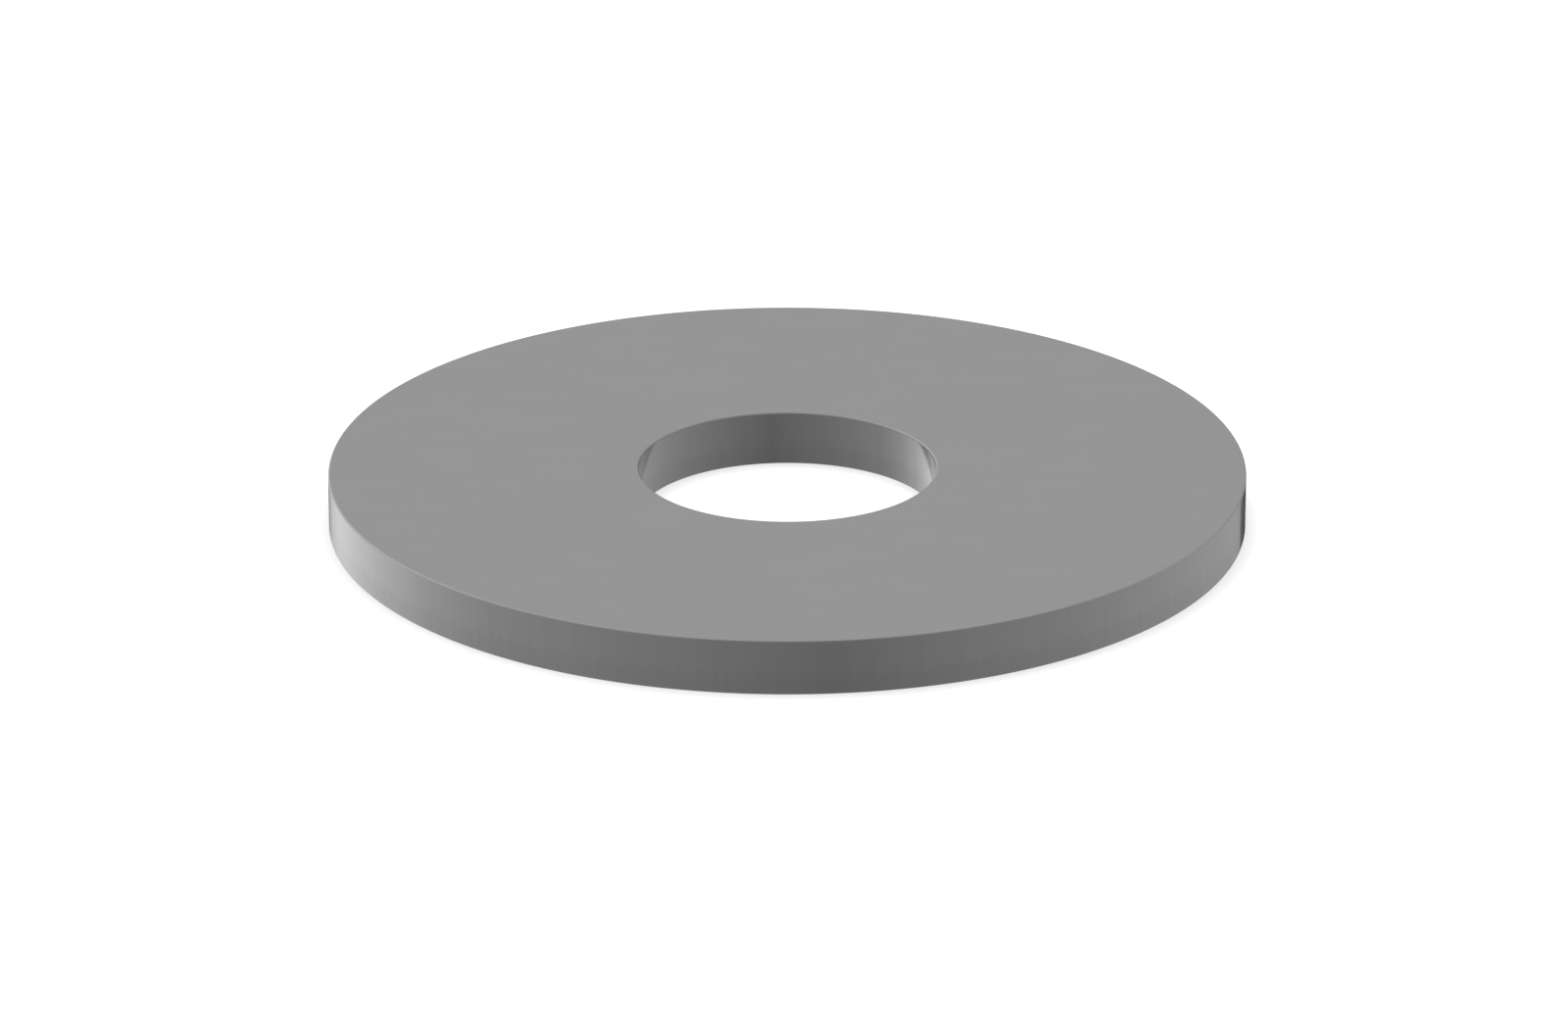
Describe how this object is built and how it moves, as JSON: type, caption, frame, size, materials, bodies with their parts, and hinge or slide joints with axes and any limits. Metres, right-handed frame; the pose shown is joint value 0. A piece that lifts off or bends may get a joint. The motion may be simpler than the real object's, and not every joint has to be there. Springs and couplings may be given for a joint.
{
  "type": "flat washer",
  "caption": "Flat round steel washer with a wide bearing face and a small central hole, stamped from sheet; spreads the load under a bolt head or nut.",
  "frame": {"origin": "centre of the hole in the plane of the lower face, which the washer lies on", "axes": "+Z along the hole, from the lower face to the upper face; the washer is round, so X and Y are any two directions in the plane of its faces"},
  "size_m": [0.0318, 0.0318, 0.0019],
  "materials": {
    "steel": "satin, tumbled mill finish, neutral grey"
  },
  "bodies": {
    "root": {"flat_washer": "steel"}
  },
  "joints": []
}
